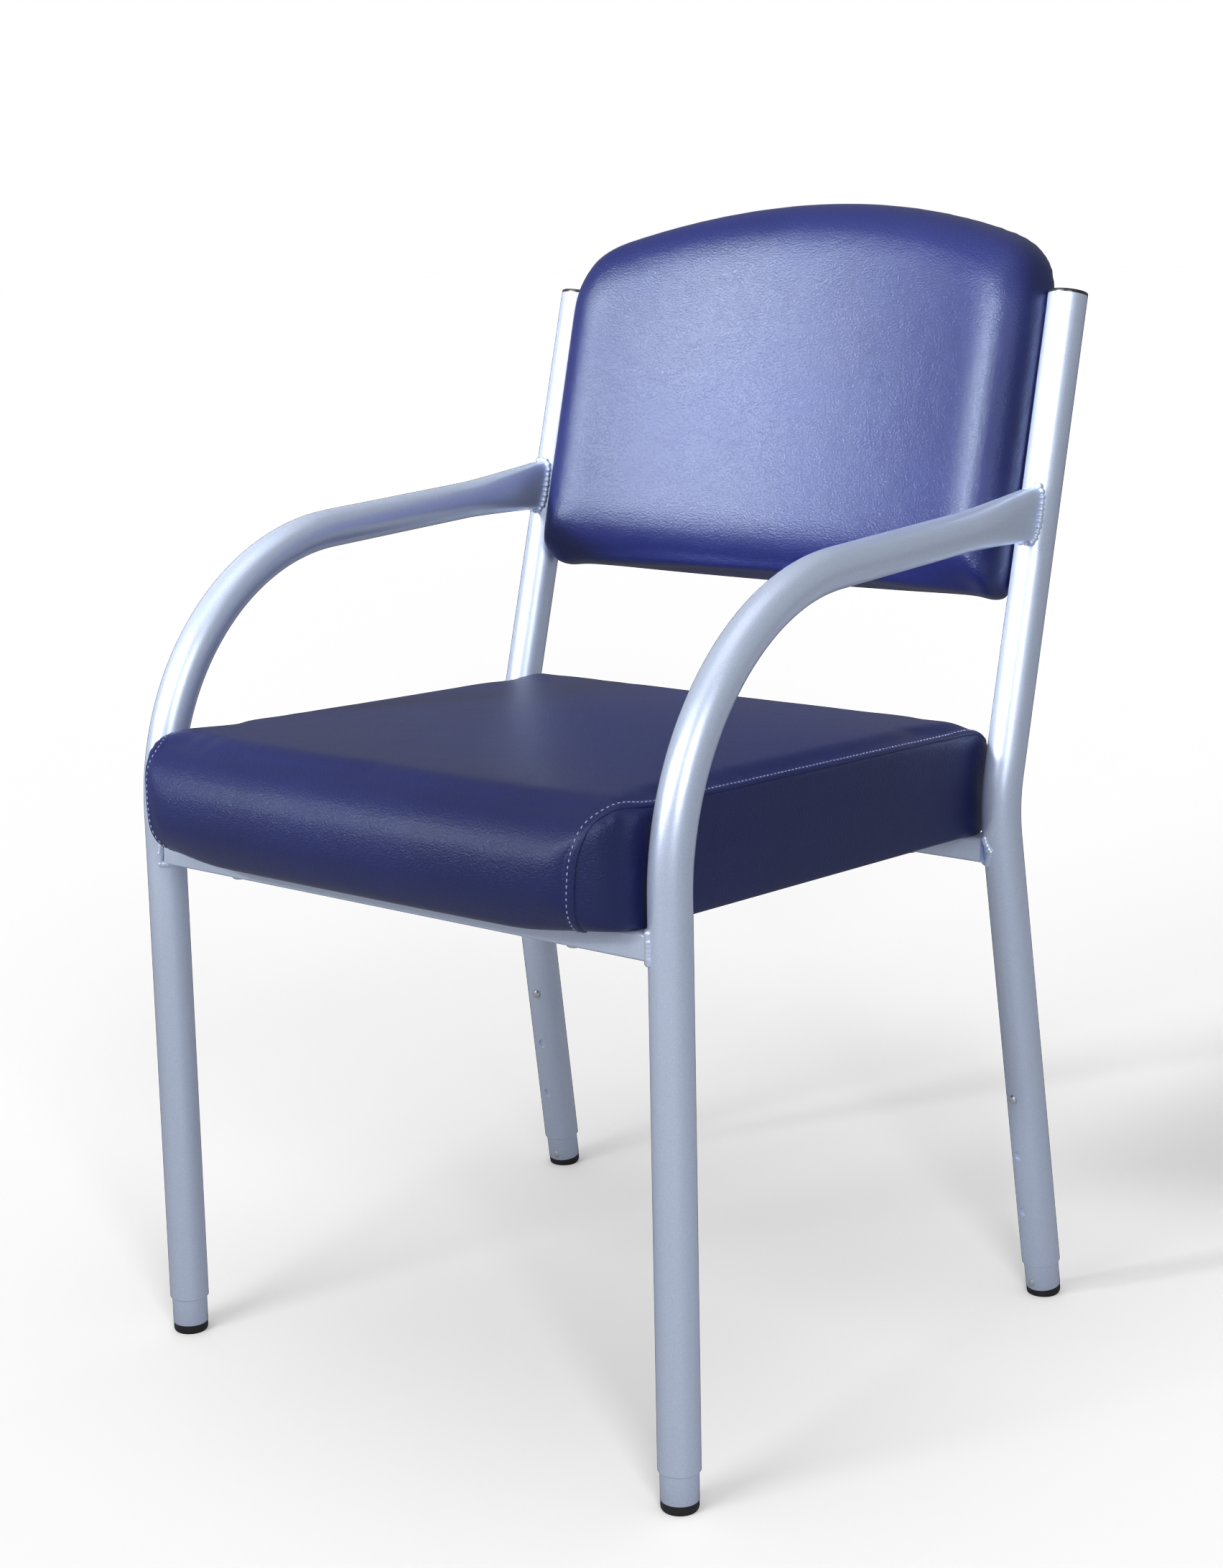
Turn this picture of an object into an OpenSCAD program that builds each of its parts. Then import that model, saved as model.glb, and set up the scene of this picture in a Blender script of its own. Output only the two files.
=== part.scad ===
/* [Tubes] */
// Outer diameter of the frame tubes (legs, arms and back posts)
tube_d = 31.8; // [31:0.1:33]
// Wall of the frame tubes and of the leg extensions
tube_wall = 1.5; // [1.2:0.1:1.6]
// Running clearance round a leg extension inside its tube, on the radius
leg_gap = 0.08; // [0.04:0.01:0.1]

/* [Side frames] */
// Distance of an arm's centre line from the middle of the chair
arm_x = 262; // [258:1:270]
// Distance of a front foot from the middle of the chair
front_foot_x = 263.6; // [260:0.2:272]
// How far a front leg has leaned back where its line meets the arm's line
front_lean = 7.1; // [0:0.1:20]
// Height of the point where the front leg's line meets the arm's line
arm_corner_z = 648.3; // [640:0.5:660]
// Radius of the bend between front leg and arm, on the centre line
arm_bend_r = 209; // [190:1:215]
// Rise of the arm from that corner to the back post
arm_rise = 19.8; // [10:0.1:30]
// Distance from the front feet to the rear end of an arm
arm_end_y = 478; // [470:0.5:485]
// Distance of a rear foot from the middle of the chair
rear_foot_x = 271.3; // [266:0.2:276]
// Distance from the front feet to the rear feet
rear_foot_y = 492.5; // [480:0.5:505]
// Distance of the knee, where rear leg and back post meet, from the middle of the chair
knee_x = 262.6; // [258:0.1:268]
// Distance from the front feet to the knee
knee_y = 430.7; // [425:0.1:436]
// Height of the knee
knee_z = 437; // [430:0.5:445]
// Distance of the post's top end from the middle of the chair
post_top_x = 259.1; // [255:0.1:265]
// Distance from the front feet to the post's top end
post_top_y = 536.3; // [530:0.1:542]
// Height of the post's top end
post_top_z = 838.4; // [830:0.1:850]
// Radius of the bend between rear leg and back post, on the centre line
knee_bend_r = 130; // [100:5:160]
// Height of the lower ends of the four frame tubes, along each leg
tube_end = 30; // [20:1:40]

/* [Arm ends] */
// Length over which a round arm is pressed flat towards the back post
press_l = 92; // [60:1:120]
// Length of the fully flat end, up to the back post
flat_l = 26; // [20:1:40]
// Thickness of the flat end
flat_t = 15; // [12:0.5:18]
// Height of the flat end
flat_h = 42; // [38:0.5:46]

/* [Height adjustment] */
// Distance between two button holes along a leg
hole_pitch = 52.5; // [45:0.5:60]
// Distance of the top button hole from the foot's sole, along the leg
button_z = 186.4; // [180:0.2:195]
// Number of button holes in each frame tube
button_holes = 3; // [2:1:3]
// Radius of a snap button's pin
button_r = 4; // [3.5:0.1:4.5]
// How far a snap button stands out of the frame tube
button_out = 2.8; // [2:0.1:3.5]
// How far the rear legs' holes are turned inwards from straight ahead
hole_turn = 11; // [0:1:30]

/* [Seat] */
// Tilt of the seat, lower at the back
seat_tilt = 2.4; // [1:0.1:5]
// Height of the underside of the seat board above the front rail's middle
seat_z = 427.5; // [420:0.5:435]
// Half the width of the seat cushion
seat_half = 243; // [235:1:244]
// Front edge of the seat cushion, ahead of the front rail's middle
seat_nose = 64.5; // [55:0.5:80]
// Rear edge of the seat cushion, behind the front rail's middle
seat_tail = 455; // [440:1:456]
// Thickness of the seat, board included
seat_t = 91; // [80:1:95]
// Thickness of the seat board
board_t = 12; // [9:1:15]

/* [Back] */
// Half the width of the back cushion
back_half = 242; // [230:1:242]
// Lower edge of the back, along the posts from the back's origin
back_low = 104; // [95:1:115]
// Upper edge of the back at the middle, along the posts from the back's origin
back_high = 436; // [420:1:440]
// Radius of the arch along the top of the back
arch_r = 550; // [500:10:700]
// Radius of the back's upper corners
back_corner_r = 75; // [60:1:85]
// Radius of the back's lower corners
back_foot_r = 28; // [15:1:40]
// Radius of the back's curve from side to side, at its rear face
curve_r = 1050; // [900:10:1400]
// How far the rear face stands behind the posts' centre lines, at the middle
back_set = 40; // [30:1:45]
// Thickness of the back, board included
back_t = 62; // [50:1:70]

/* [Rails] */
// Depth of a seat rail, front to rear
rail_w = 25; // [20:1:30]
// Height of a seat rail
rail_h = 20; // [18:1:25]
// Distance of the seat screws from the middle of the chair
seat_screw_x = 175; // [120:5:200]

/* [Hidden] */
$fn = 96;

// The chair is drawn with Y = 0 at the front feet, then centred front to rear.
middle_y = 269.26;
tube_bore = tube_d - 2 * tube_wall;
leg_d = tube_bore - 2 * leg_gap;
leg_bore = leg_d - 2 * tube_wall;
hair = 0.02;

// Points of the left side frame
front_foot = [front_foot_x, 0, 0];
arm_corner = [arm_x, front_lean, arm_corner_z];
rear_foot = [rear_foot_x, rear_foot_y, 0];
knee = [knee_x, knee_y, knee_z];
post_top = [post_top_x, post_top_y, post_top_z];
post_dir = unit(post_top - knee);
lean = atan2(post_dir.y, post_dir.z);
// The back's own origin lies on the posts' plane, this far up from the floor.
back_origin_z = 500;
back_origin_y = knee.y + (back_origin_z - knee.z) * tan(lean);
arm_end = [arm_x, arm_end_y, arm_corner_z + arm_rise];

// Seat rails: the front one is centred on the front legs, the rear one on the rear legs
front_rail_y = front_lean * seat_z / arm_corner_z;
rear_rail_v = 429;
rail_hole_r = 3;

// Seat board: half its width, its front and rear edges, and its corner radii
board_half = 228;
board_front = -28;
board_rear = 446;
board_front_r = 46;
board_rear_r = 22;
screw_depth = 10;

// Seat cushion: plan corners, then the rounds of its front and rear seen from the side
seat_front_r = 62;
seat_rear_r = 32;
nose_r = 46;
under_r = 34;
tail_r = 34;

// Leg extension: its length, and how far up the plug of the foot reaches
leg_top = 240;
foot_rim = 7;
plug_top = 32;
rivet_z = 13.4;
rivet_r = 1.6;

// Snap button: flange under the pin, and the hairpin spring that carries it
flange_r = 5.4;
flange_t = 1;
clip_t = 0.8;
clip_w = 9;
clip_rise = 30;
// The flange's rim rests against the round bore.
button_seat = sqrt(pow(leg_bore / 2, 2) - pow(flange_r, 2)) - flange_t - 0.1;

// Back: thin rear panel, then the board, then the padding
panel_t = 3;
back_board_t = 10;
bracket_t = 3;
bracket_w = 26;
bracket_gap = 0.2;
bracket_in = 16;
bracket_out = 36;
bracket_turn = 12.2;
bracket_heights = [165, 315];
screw_r = 2.5;
screw_hole_r = 2.8;
panel_inset = 6;
board_inset = 12;
board_screw_depth = 9;

function unit(v) = v / norm(v);

// ---------- general shapes ----------

// A round bar from one point to another
module rod(from, to, d) {
    along = to - from;
    translate(from)
        rotate([0, acos(along.z / norm(along)), atan2(along.y, along.x)])
            cylinder(d = d, h = norm(along));
}

// A tube from one point to another that bends once, near a corner point
module bent_tube(from, corner, to, r) {
    u = unit(corner - from);
    w = unit(to - corner);
    bend = acos(u * w);
    cut = r * tan(bend / 2);
    n = unit(w - (w * u) * u);
    k = cross(-n, u);
    centre = corner - cut * u + r * n;
    multmatrix([
        [-n.x, u.x, k.x, centre.x],
        [-n.y, u.y, k.y, centre.y],
        [-n.z, u.z, k.z, centre.z],
        [0, 0, 0, 1]
    ]) {
        translate([r, 0, 0]) rotate([90, 0, 0]) straight(norm(corner - from) - cut);
        rotate_extrude(angle = bend) translate([r, 0]) tube_section(0);
        rotate([0, 0, bend])
            translate([r, 0, 0])
                rotate([-90, 0, 0])
                    straight(norm(to - corner) - cut);
    }
}

// A straight length of tube. It starts a hair away from the piece that it continues,
// and a neck inside both walls joins the two into one piece.
module straight(length) {
    translate([0, 0, hair]) linear_extrude(length - hair) tube_section(0);
    neck();
}

module neck() {
    translate([0, 0, -0.5]) linear_extrude(1) tube_section(0.1);
}

module tube_section(thinner) {
    difference() {
        circle(r = tube_d / 2 - thinner);
        circle(r = tube_bore / 2 + thinner);
    }
}

// Stands its children on a leg: origin at the sole, Z up the leg, X towards the button
module on_line(foot, up, facing) {
    k = unit(up - foot);
    i = unit(facing - (facing * k) * k);
    j = cross(k, i);
    multmatrix([
        [i.x, j.x, k.x, foot.x],
        [i.y, j.y, k.y, foot.y],
        [i.z, j.z, k.z, foot.z],
        [0, 0, 0, 1]
    ])
        children();
}

module on_front_leg() {
    on_line(front_foot, arm_corner, [0, 1, 0]) children();
}

module on_rear_leg() {
    on_line(rear_foot, knee, [-sin(hole_turn), -cos(hole_turn), 0]) children();
}

// Shifts the drawing to the chair's own origin, and mirrors it for the right side
module left() {
    translate([0, -middle_y, 0]) children();
}

module right() {
    mirror([1, 0, 0]) left() children();
}

// Lays its children in the seat's frame: origin over the front rail's middle,
// Y towards the back along the underside of the board
module on_seat() {
    translate([0, front_rail_y, seat_z]) rotate([-seat_tilt, 0, 0]) children();
}

// Lays its children in the back's frame: Z up the posts, Y out of the rear
module on_back() {
    translate([0, back_origin_y, back_origin_z]) rotate([-lean, 0, 0]) children();
}

// A rectangle between two corners with one radius at its front and one at its rear
module plate(half, front, rear, front_r, rear_r) {
    translate([-half, front + front_r]) square([2 * half, rear - front - front_r - rear_r]);
    translate([front_r - half, front]) square([2 * (half - front_r), rear - front - rear_r]);
    translate([rear_r - half, front + front_r])
        square([2 * (half - rear_r), rear - front - front_r]);
    for (side = [-1, 1]) {
        translate([side * (half - front_r), front + front_r]) circle(front_r);
        translate([side * (half - rear_r), rear - rear_r]) circle(rear_r);
    }
}

// ---------- side frames ----------

// Holes for the snap button, one above another
module button_row(count) {
    for (i = [0:count - 1])
        translate([0, 0, button_z - i * hole_pitch])
            rotate([0, 90, 0])
                cylinder(r = button_r + 0.2, h = tube_d);
}

// The arm's flat end, drawn along X from where the pressing starts
module pressed_end(d, t, h, extra) {
    ring = 0.5;
    rotate([0, 90, 0]) {
        hull() {
            translate([0, 0, hair]) cylinder(d = d, h = ring, $fn = 32);
            translate([0, 0, press_l]) linear_extrude(ring) slot(t, h, $fn = 32);
        }
        translate([0, 0, press_l]) linear_extrude(flat_l + extra) slot(t, h);
    }
}

// A flat oval: t across, h tall
module slot(t, h) {
    square([h - t, t], center = true);
    for (side = [-1, 1]) translate([side * (h - t) / 2, 0]) circle(d = t);
}

// Front leg and arm in one bent tube; the arm's end is pressed flat against the post
module arm_tube() {
    along = unit(arm_end - arm_corner);
    press_start = arm_end - (press_l + flat_l - tube_d / 2) * along;
    foot_dir = unit(arm_corner - front_foot);
    color("silver") {
        difference() {
            bent_tube(front_foot + tube_end * foot_dir, arm_corner, press_start, arm_bend_r);
            on_front_leg() button_row(button_holes);
        }
        arm_end_frame(press_start, along) rotate([0, 90, 0]) neck();
        difference() {
            arm_end_frame(press_start, along) pressed_end(tube_d, flat_t, flat_h, 0);
            arm_end_frame(press_start - hair * along, along)
                pressed_end(tube_bore, flat_t - 2 * tube_wall, flat_h - 2 * tube_wall, 5);
            rod(knee, post_top, tube_d);
        }
    }
}

module arm_end_frame(start, along) {
    translate(start) rotate([0, 0, 90]) rotate([0, -atan2(along.z, along.y), 0]) children();
}

// Rear leg and back post in one bent tube
module post_tube() {
    foot_dir = unit(knee - rear_foot);
    color("silver")
        difference() {
            bent_tube(rear_foot + tube_end * foot_dir, knee, post_top, knee_bend_r);
            on_rear_leg() button_row(button_holes);
        }
}

// Black plug in the top of a back post
module post_cap() {
    cap_rim = 2.6;
    dome_h = 1.5;
    dome_r = (tube_d * tube_d / 4 + dome_h * dome_h) / (2 * dome_h);
    color("#17171a")
        on_line(post_top, post_top + post_dir, [1, 0, 0]) {
            translate([0, 0, -18]) cylinder(d = tube_bore - 0.1, h = 18);
            intersection() {
                cylinder(d = tube_d, h = cap_rim + dome_h);
                translate([0, 0, cap_rim + dome_h - dome_r]) sphere(dome_r, $fn = 200);
            }
        }
}

// ---------- seat rails ----------

module rail(v) {
    difference() {
        on_seat() translate([-arm_x, v - rail_w / 2, -rail_h]) cube([2 * arm_x, rail_w, rail_h]);
        on_seat()
            translate([-arm_x - 1, v - rail_w / 2 + tube_wall, tube_wall - rail_h])
                cube([2 * arm_x + 2, rail_w - 2 * tube_wall, rail_h - 2 * tube_wall]);
        on_seat()
            for (side = [-1, 1])
                translate([side * seat_screw_x, v, -rail_h - 1])
                    cylinder(r = rail_hole_r, h = rail_h + 2);
        for (side = [0, 1]) mirror([side, 0, 0]) {
            rod(front_foot, arm_corner, tube_d);
            rod(rear_foot, knee, tube_d);
        }
    }
}

module front_rail() {
    color("silver") left() rail(0);
}

module rear_rail() {
    color("silver") left() rail(rear_rail_v);
}

// ---------- seat ----------

module board_plan() {
    plate(board_half, board_front, board_rear, board_front_r, board_rear_r);
}

module seat_board() {
    color("burlywood")
        left()
            on_seat()
                difference() {
                    linear_extrude(board_t) board_plan();
                    screw_places()
                        translate([0, 0, -1])
                            cylinder(r = screw_r, h = screw_depth + 1);
                }
}

// The four places where a screw comes up through a rail
module screw_places() {
    for (v = [0, rear_rail_v], side = [-1, 1]) translate([side * seat_screw_x, v, 0]) children();
}

// Foam and vinyl as one closed form: a waterfall front, an upright rear
module seat_cushion() {
    color("#353a6b")
        left()
            on_seat()
                difference() {
                    intersection() {
                        linear_extrude(seat_t)
                            plate(seat_half, -seat_nose, seat_tail, seat_front_r, seat_rear_r);
                        rotate([90, 0, 90])
                            translate([0, 0, -seat_half])
                                linear_extrude(2 * seat_half)
                                    seat_side();
                    }
                    translate([0, 0, -1]) linear_extrude(board_t + 1) board_plan();
                }
}

// Side view of the seat, front to the left
module seat_side() {
    translate([nose_r - seat_nose, 0]) square([seat_nose + seat_tail - nose_r - tail_r, seat_t]);
    translate([-seat_nose, under_r]) square([nose_r, seat_t - nose_r - under_r]);
    translate([seat_tail - tail_r, tail_r]) square([tail_r, seat_t - 2 * tail_r]);
    translate([nose_r - seat_nose, seat_t - nose_r]) circle(nose_r);
    translate([under_r - seat_nose, under_r]) circle(under_r);
    translate([under_r - seat_nose, 0]) square([nose_r, under_r]);
    translate([seat_tail - tail_r, seat_t - tail_r]) circle(tail_r);
    translate([seat_tail - tail_r, tail_r]) circle(tail_r);
}

// Four screws up through the rails into the seat board
module seat_screws() {
    head_r = 5.5;
    head_h = 3.6;
    color("silver")
        left()
            on_seat()
                screw_places() {
                    translate([0, 0, -rail_h]) cylinder(r = screw_r, h = rail_h + screw_depth);
                    translate([0, 0, -rail_h - head_h]) cylinder(r = head_r, h = head_h);
                }
}

// ---------- back ----------

// Front view of the back: an arched top, round corners; inset makes a smaller one.
// The upper corners stand a hair proud, so that their arcs cross the arch and don't only touch it.
module back_outline(inset) {
    half = back_half - inset;
    corner_r = back_corner_r - inset;
    foot_r = back_foot_r - inset;
    low = back_low + inset;
    arch_z = back_high - arch_r;
    corner_x = back_half - back_corner_r;
    corner_z = arch_z + sqrt(pow(arch_r - back_corner_r, 2) - pow(corner_x, 2));
    tangent_x = corner_x * arch_r / (arch_r - back_corner_r);
    intersection() {
        translate([0, arch_z]) circle(arch_r - inset, $fn = 200);
        translate([-tangent_x, low + foot_r]) square([2 * tangent_x, back_high]);
    }
    translate([-half, low + foot_r]) square([2 * half, corner_z - low - foot_r]);
    translate([foot_r - half, low]) square([2 * (half - foot_r), foot_r + 1]);
    for (side = [-1, 1]) {
        translate([side * corner_x, corner_z]) circle(corner_r + hair);
        translate([side * (half - foot_r), low + foot_r]) circle(foot_r);
    }
}

// A curved sheet between two radii, cut to the back's outline
module curved_sheet(inner, outer, inset) {
    intersection() {
        translate([0, back_set - curve_r, back_low - 10])
            linear_extrude(back_high - back_low + 20)
                difference() {
                    circle(outer, $fn = 200);
                    circle(inner, $fn = 200);
                }
        translate([0, back_set + 5, 0])
            rotate([90, 0, 0])
                linear_extrude(back_t + 80)
                    back_outline(inset);
    }
}

// The four places where a bracket meets the back, with Y out of the rear face
module bracket_places() {
    for (side = [-1, 1], z = bracket_heights)
        translate([0, back_set - curve_r, z])
            rotate([0, 0, -side * bracket_turn])
                translate([0, curve_r, 0])
                    mirror([side < 0 ? 1 : 0, 0, 0])
                        children();
}

module bracket_screw_holes(r) {
    clear = 8;
    bracket_places()
        translate([0, clear, 0])
            rotate([90, 0, 0])
                cylinder(r = r, h = clear + panel_t + back_board_t - 0.5);
}

module board_sheet() {
    curved_sheet(curve_r - panel_t - back_board_t, curve_r - panel_t, board_inset);
}

module back_rear_panel() {
    color("#353a6b")
        left()
            on_back()
                difference() {
                    curved_sheet(curve_r - panel_t, curve_r, panel_inset);
                    bracket_screw_holes(screw_hole_r);
                }
}

module back_board() {
    color("burlywood")
        left()
            on_back()
                difference() {
                    board_sheet();
                    bracket_screw_holes(screw_r);
                }
}

module back_cushion() {
    color("#4a5290")
        left()
            on_back()
                difference() {
                    curved_sheet(curve_r - back_t, curve_r, 0);
                    board_sheet();
                    curved_sheet(curve_r - panel_t - 1, curve_r + 1, panel_inset);
                }
}

// Flat steel tabs welded to the posts; each takes one screw into the board
module back_brackets() {
    color("silver")
        left()
            difference() {
                on_back()
                    difference() {
                        bracket_places()
                            translate([-bracket_in, bracket_gap, -bracket_w / 2])
                                cube([bracket_in + bracket_out, bracket_t, bracket_w]);
                        bracket_screw_holes(screw_hole_r);
                    }
                both_posts() rod(knee, post_top, tube_d + hair);
                both_posts() beyond_the_post();
            }
}

module both_posts() {
    for (side = [0, 1]) mirror([side, 0, 0]) children();
}

// Everything outward of a post's centre line
module beyond_the_post() {
    down = 450;
    on_line(post_top, post_top + post_dir, [1, 0, 0])
        translate([0, -50, -down]) cube([80, 100, down]);
}

module back_screws() {
    head_r = 5;
    head_h = 2.6;
    shank_l = bracket_t + panel_t + board_screw_depth;
    color("silver")
        left()
            on_back()
                bracket_places()
                    translate([0, bracket_t + bracket_gap, 0]) {
                        rotate([90, 0, 0]) cylinder(r = screw_r, h = shank_l);
                        rotate([-90, 0, 0]) cylinder(r = head_r, h = head_h);
                    }
}

// ---------- leg extensions ----------

// Inner tube that slides in the frame tube, with a hole for the button's pin
module leg_extension() {
    color("gainsboro")
        difference() {
            translate([0, 0, foot_rim]) cylinder(d = leg_d, h = leg_top - foot_rim);
            translate([0, 0, foot_rim - 1]) cylinder(d = leg_bore, h = leg_top);
            translate([0, 0, button_z])
                rotate([0, 90, 0])
                    cylinder(r = button_r + leg_gap, h = tube_d);
            rivet_hole();
        }
}

// Rubber foot: a plug in the tube and a domed tread; the sole is cut level with the floor
module foot_plug() {
    tread_r = 22;
    difference() {
        union() {
            translate([0, 0, foot_rim]) cylinder(d = leg_bore - 0.1, h = plug_top - foot_rim);
            intersection() {
                translate([0, 0, -5]) cylinder(d = leg_d, h = foot_rim + 5);
                translate([0, 0, tread_r - 3]) sphere(tread_r, $fn = 200);
            }
        }
        rivet_hole();
    }
}

module rivet_hole() {
    translate([0, 0, rivet_z]) rotate([0, 90, 0]) cylinder(r = rivet_r, h = tube_d);
}

module front_foot_plug() {
    color("#1d1d20") above_floor(front_foot) on_front_leg() foot_plug();
}

module rear_foot_plug() {
    color("#1d1d20") above_floor(rear_foot) on_rear_leg() foot_plug();
}

module above_floor(foot) {
    reach = 60;
    intersection() {
        children();
        translate([foot.x - reach / 2, foot.y - reach / 2, 0]) cube(reach);
    }
}

// Blind rivet that keeps the rubber foot in the tube
module foot_rivet() {
    head_r = 3.3;
    head_h = 1.3;
    head_sphere = (head_r * head_r + head_h * head_h) / (2 * head_h);
    color("silver")
        translate([0, 0, rivet_z])
            rotate([0, 90, 0]) {
                translate([0, 0, 5]) cylinder(r = rivet_r, h = leg_d / 2 - 5);
                intersection() {
                    translate([0, 0, leg_d / 2]) cylinder(r = head_r, h = head_h);
                    translate([0, 0, leg_d / 2 + head_h - head_sphere]) sphere(head_sphere);
                }
            }
}

// Snap button: a domed pin on a flange
module snap_button() {
    tip = tube_d / 2 + button_out;
    dome_r = 6;
    color("gainsboro")
        translate([0, 0, button_z])
            rotate([0, 90, 0]) {
                translate([0, 0, button_seat]) cylinder(r = flange_r, h = flange_t);
                intersection() {
                    translate([0, 0, button_seat]) cylinder(r = button_r, h = tip - button_seat);
                    translate([0, 0, tip - dome_r]) sphere(dome_r);
                }
                translate([0, 0, button_seat]) cylinder(r = button_r, h = tip - dome_r - button_seat);
            }
}

// Hairpin leaf spring: one arm under the button, the other along the far wall
module button_clip() {
    far_wall = 11.9;
    near = button_seat - clip_t;
    bend_r = (far_wall + button_seat) / 2;
    bend_x = (button_seat - far_wall) / 2;
    color("lightsteelblue")
        translate([0, clip_w / 2, button_z])
            rotate([90, 0, 0])
                linear_extrude(clip_w) {
                    translate([near, -7]) square([clip_t, clip_rise + 7]);
                    translate([-far_wall, -14]) square([clip_t, clip_rise + 14]);
                    translate([bend_x, clip_rise])
                        difference() {
                            circle(bend_r);
                            circle(bend_r - clip_t);
                            translate([-20, -40]) square([40, 40]);
                        }
                }
}

left() arm_tube();  // left_arm_tube
right() arm_tube();  // right_arm_tube
left() post_tube();  // left_post_tube
right() post_tube();  // right_post_tube
front_rail();
rear_rail();
left() post_cap();  // left_post_cap
right() post_cap();  // right_post_cap
seat_board();
seat_cushion();
seat_screws();
back_board();
back_rear_panel();
back_cushion();
back_brackets();
back_screws();
left() on_front_leg() leg_extension();  // front_left_leg
left() front_foot_plug();  // front_left_foot
left() on_front_leg() foot_rivet();  // front_left_rivet
left() on_front_leg() button_clip();  // front_left_clip
left() on_front_leg() snap_button();  // front_left_button
right() on_front_leg() leg_extension();  // front_right_leg
right() front_foot_plug();  // front_right_foot
right() on_front_leg() foot_rivet();  // front_right_rivet
right() on_front_leg() button_clip();  // front_right_clip
right() on_front_leg() snap_button();  // front_right_button
left() on_rear_leg() leg_extension();  // rear_left_leg
left() rear_foot_plug();  // rear_left_foot
left() on_rear_leg() foot_rivet();  // rear_left_rivet
left() on_rear_leg() button_clip();  // rear_left_clip
left() on_rear_leg() snap_button();  // rear_left_button
right() on_rear_leg() leg_extension();  // rear_right_leg
right() rear_foot_plug();  // rear_right_foot
right() on_rear_leg() foot_rivet();  // rear_right_rivet
right() on_rear_leg() button_clip();  // rear_right_clip
right() on_rear_leg() snap_button();  // rear_right_button
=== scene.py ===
import math
import random

import bmesh
import bpy
from mathutils import Matrix, Vector
from mathutils.bvhtree import BVHTree


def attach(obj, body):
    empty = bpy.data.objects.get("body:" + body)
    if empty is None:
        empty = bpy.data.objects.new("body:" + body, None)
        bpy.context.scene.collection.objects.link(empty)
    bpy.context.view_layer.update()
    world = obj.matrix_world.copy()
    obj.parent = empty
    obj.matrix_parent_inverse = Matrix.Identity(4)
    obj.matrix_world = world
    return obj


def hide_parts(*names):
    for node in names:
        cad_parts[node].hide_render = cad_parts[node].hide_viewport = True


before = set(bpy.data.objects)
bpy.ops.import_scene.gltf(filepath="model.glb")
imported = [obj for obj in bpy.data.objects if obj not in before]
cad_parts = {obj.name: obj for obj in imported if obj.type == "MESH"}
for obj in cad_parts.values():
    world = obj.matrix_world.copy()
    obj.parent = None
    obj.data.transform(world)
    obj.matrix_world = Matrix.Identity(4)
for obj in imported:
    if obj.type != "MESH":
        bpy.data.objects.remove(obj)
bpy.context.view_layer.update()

# ---------------------------------------------------------------- room and camera
# A white studio with one pale floor: a key lamp in front, a narrow lamp aimed at the back pad, a
# fill on the camera's side and a soft lamp overhead. The camera stands in front of the chair on
# the sitter's left, level with its top.
CAMERA_PLACE = Vector((1.3656, -1.6309, 0.914))
CAMERA_TURN = math.radians(40.15)
CAMERA_DIP = math.radians(12.22)
CAMERA_ROLL = math.radians(-1.51)
LENS_MM = 60.71
SENSOR_MM = 36


def add_camera():
    ahead = Vector(
        (
            -math.sin(CAMERA_TURN) * math.cos(CAMERA_DIP),
            math.cos(CAMERA_TURN) * math.cos(CAMERA_DIP),
            -math.sin(CAMERA_DIP),
        )
    )
    level = Vector((math.cos(CAMERA_TURN), math.sin(CAMERA_TURN), 0))
    right = Matrix.Rotation(-CAMERA_ROLL, 3, ahead) @ level
    data = bpy.data.cameras.new("camera")
    data.lens = LENS_MM
    data.sensor_width = SENSOR_MM
    camera = bpy.data.objects.new("camera", data)
    axes = Matrix((right, right.cross(ahead), -ahead)).transposed()
    camera.matrix_world = Matrix.Translation(CAMERA_PLACE) @ axes.to_4x4()
    bpy.context.scene.collection.objects.link(camera)
    bpy.context.scene.camera = camera


def add_lamp(name, place, target, size, watts, tint, spread=180):
    data = bpy.data.lights.new(name, "AREA")
    data.shape = "RECTANGLE"
    data.size, data.size_y = size
    data.energy = watts
    data.color = tint
    data.spread = math.radians(spread)
    lamp = bpy.data.objects.new(name, data)
    lamp.location = place
    lamp.rotation_euler = (Vector(target) - Vector(place)).to_track_quat("-Z", "Y").to_euler()
    bpy.context.scene.collection.objects.link(lamp)


class Value:
    """A number that changes over a surface, so that shader maths reads as plain Python."""

    def __init__(self, socket):
        self.socket = socket

    def maths(self, operation, *others):
        node = self.socket.id_data.nodes.new("ShaderNodeMath")
        node.operation = operation
        for pin, value in zip(node.inputs, (self, *others)):
            feed(pin, value)
        return Value(node.outputs[0])

    def __add__(self, other):
        return self.maths("ADD", other)

    def __sub__(self, other):
        return self.maths("SUBTRACT", other)

    def __rsub__(self, other):
        return (self * -1) + other

    def __mul__(self, other):
        return self.maths("MULTIPLY", other)

    def __truediv__(self, other):
        return self.maths("DIVIDE", other)

    __radd__ = __add__
    __rmul__ = __mul__

    def between(self, low, high):
        """0 below low, 1 above high, and a straight ramp from one to the other."""
        return ((self - low) / (high - low)).maths("MINIMUM", 1).maths("MAXIMUM", 0)


def feed(pin, value):
    if isinstance(value, Value):
        pin.id_data.links.new(value.socket, pin)
    else:
        pin.default_value = value


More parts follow.
